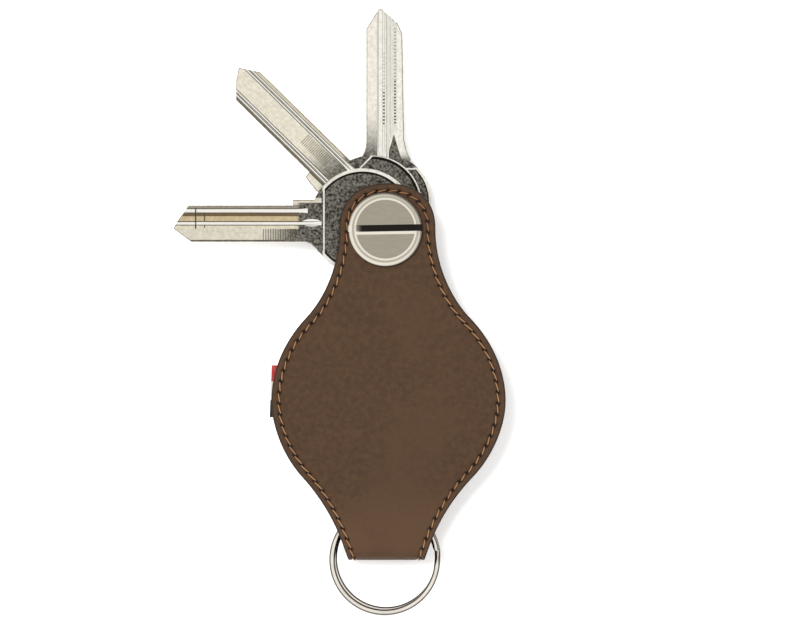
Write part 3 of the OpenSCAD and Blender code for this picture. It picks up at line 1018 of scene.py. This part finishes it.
def key_piece(spec, materials):
    """One key, with the same bow relief and grooves on both faces, and its hollows and cuts on the upper
    face only.
    """
    key = marked(chamfered(circle(*spec["bow"]), KEY_T, RIM_CHAMFER), materials, BLADE)
    eye = marked(chamfered(circle(0, 0, EYE_R), KEY_T, RIM_CHAMFER), materials, BLADE)
    shank = marked(chamfered(spec["shank"], KEY_T, RIM_CHAMFER), materials, BLADE)
    # The shank's sides and chamfers take the edge material, painted darker as shade.
    for polygon in shank.data.polygons:
        if abs(polygon.normal.z) < 0.9:
            polygon.material_index = EDGE_SHADE
    combine(key, "UNION", eye, shank)
    for face in (1, -1):
        bow_relief(key, spec, face, materials)
        combine(key, "DIFFERENCE", *[groove_cutter(*groove, face, materials) for groove in spec["grooves"]])
    for x, y, long, wide, depth in spec["ovals"]:
        oval = prism(circle(0, 0, 1) * [long, wide] + [x, y], *face_band(1, depth))
        combine(key, "DIFFERENCE", marked(oval, materials, GROOVE))
    for *row, depth, index in spec["cuts"]:
        combine(key, "DIFFERENCE", marked(row_cutter(*row, *face_band(1, depth)), materials, index))
    combine(key, "DIFFERENCE", marked(disc(0, 0, KEY_HOLE_R, -1, KEY_T + 1), materials, BLADE))
    soften(key, 0.04)
    shade(key, 12)
    return key


def make_keys():
    """The three keys, each turned to where it rests in the photograph."""
    shared = (groove_material(), field_material((FIELD_DEPTH + LINE_DEPTH) / 2), wall_shade_material(),
              edge_shade_material())
    for spec in KEYS:
        key = key_piece(spec, (blade_material(spec), *shared))
        low, _ = box_mm(spec["node"])
        key.matrix_world = Matrix.Translation((0, 0, low.z * MM)) @ Matrix.Rotation(
            math.radians(spec["angle"]), 4, "Z")
        hand_over(key, spec["node"] + "_blank", spec["body"], [spec["node"]])


# ---------------------------------------------------------------- the split ring

def split_ring():
    """Two turns of wire with one step between them, and its two cut ends."""
    centre = (ring_low + ring_high) / 2
    radius = (ring_high.x - ring_low.x) / 2 - WIRE_D / 2
    step_half = math.radians(9)
    start, end = step_half + 0.02, 4 * math.pi - step_half - 0.02
    turn = np.linspace(start, end, 520)
    level = smooth_step((turn - (2 * math.pi - step_half)) / (2 * step_half))
    drop = ring_high.z - centre.z - WIRE_D / 2
    r = radius - 0.16 * level
    centres = np.stack([
        centre.x + r * np.cos(turn) + 0.3 * level + 0.05,
        centre.y + r * np.sin(turn) + 0.32 * level - 0.08,
        centre.z + drop * (1 - 2 * level)], -1)
    normals = np.tile([0.0, 0.0, 1.0], (len(turn), 1))
    around = full_turn(24)
    half = WIRE_D / 2 * 0.98
    shape = half * np.stack([np.cos(around), np.sin(around)], -1)
    section_of = np.repeat(shape[None], len(turn), 0)
    taper = np.clip(np.minimum(np.arange(len(turn)), np.arange(len(turn))[::-1]) / 2, 0.82, 1)
    points, faces = sweep(centres, normals, section_of * taper[:, None, None])
    return solid("ring", points, faces, 50)


# ---------------------------------------------------------------- assembly

def build_object():
    """Every visible piece, in the CAD model's own frame."""
    leather = leather_material("leather", (0.0620, 0.0327, 0.0163), (0.0730, 0.0380, 0.0195), 0.52)
    lining = leather_material("lining", (0.0520, 0.0280, 0.0140), (0.0600, 0.0310, 0.0150), 0.58)
    thread = thread_material()

    outer = strip_layer("outer", 0, OUTER_T, 0.0, [1])
    coat(outer, leather)
    hand_over(outer, "wrap_leather", "wrap", ["leather_wrap"])

    inner = strip_layer("inner", OUTER_T, PANEL_T, 0.12, [-1])
    coat(inner, lining)
    hand_over(inner, "wrap_lining", "wrap", ["leather_lining"])

    for face, node in ((1, "front_stitching"), (-1, "back_stitching")):
        seam = stitching(face)
        coat(seam, thread)
        hand_over(seam, node.replace("stitching", "thread"), "wrap", [node])

    tab = side_tab()
    low, high = box_mm("side_tab")
    coat(tab, tape_material(low.y, high.y))
    hand_over(tab, "side_tape", "wrap", ["side_tab"])

    post = binding_post()
    coat(post, nickel_material("nickel_post", 0))
    hand_over(post, "post_barrel", "wrap", ["binding_post"])

    screw = slotted_screw()
    coat(screw, nickel_material("nickel_screw", -1, screw_high.z))
    hand_over(screw, "post_screw", "screw", ["slotted_screw"])

    washer = steel_material("washer_steel", (0.62, 0.61, 0.59), 0.28)
    for number in (1, 2, 3, 4):
        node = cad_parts["pivot_washer_%d" % number]
        coat(node, washer)

    make_keys()

    ring = split_ring()
    coat(ring, steel_material("ring_steel", (0.93, 0.88, 0.80), 0.08, 0.9))
    hand_over(ring, "ring_wire", "ring", ["split_ring"])


# ---------------------------------------------------------------- stage, light and camera

def area_light(name, place, aim, size, power):
    """A soft rectangular light that metal doesn't mirror."""
    data = bpy.data.lights.new(name, "AREA")
    data.shape = "RECTANGLE"
    data.size, data.size_y = size
    data.energy = power
    light = bpy.data.objects.new(name, data)
    light.location = place
    light.visible_glossy = False
    light.rotation_euler = (Vector(aim) - Vector(place)).to_track_quat("-Z", "Y").to_euler()
    bpy.context.scene.collection.objects.link(light)


def make_world():
    """Bright overhead, darker towards the horizon and on one side, so that edges and wires read."""
    world = bpy.data.worlds.new("studio")
    world.use_nodes = True
    tree = world.node_tree
    away = add(tree, "TexCoord").outputs["Generated"]
    aside = calc(tree, "ADD", axis(tree, away, "X"), axis(tree, away, "Y"))
    up = calc(tree, "SUBTRACT", axis(tree, away, "Z"), calc(tree, "MULTIPLY", aside, 0.12))
    overhead = between(tree, up, 0.22, 0.60)
    shade_of = mixed(tree, overhead, colour(0.12, 0.108, 0.095), colour(1.0, 0.99, 0.97))
    background = tree.nodes["Background"]
    tree.links.new(shade_of, background.inputs["Color"])
    background.inputs["Strength"].default_value = 0.97
    bpy.context.scene.world = world


def make_floor():
    """A plain pale floor, well wider than the object."""
    size = 900.0
    steps = 3
    shift, level = -20, -0.02
    line = np.linspace(-size, size, steps)
    x, y = np.meshgrid(line, line)
    points = np.stack([x, y + shift, np.full_like(x, level)], -1).reshape(-1, 3)
    floor = new_object("floor", points, grid_faces(steps, steps, False).tolist())
    material, tree, shader = new_material("floor")
    feed(tree, shader, Base_Color=colour(0.93, 0.93, 0.93), Roughness=0.75, Specular_IOR_Level=0.1,
         Emission_Color=colour(1, 1, 1), Emission_Strength=0.35)
    floor.data.materials.append(material)


def make_camera():
    """Straight down over the object's middle. Its distance and the width in view are in metres."""
    data = bpy.data.cameras.new("camera")
    distance = 0.9
    frame_width = 0.183
    aim_height = 0.0105
    data.sensor_width = 36
    data.lens = data.sensor_width * distance / frame_width
    camera = bpy.data.objects.new("camera", data)
    camera.location = (0.00386, -0.0210, distance + aim_height)
    bpy.context.scene.collection.objects.link(camera)
    bpy.context.scene.camera = camera


build_object()
make_world()
make_floor()
make_camera()
area_light("key", (-0.26, 0.2, 1.05), (0, -0.02, 0), (0.3, 0.3), 9)
bpy.context.scene.view_settings.view_transform = "Standard"
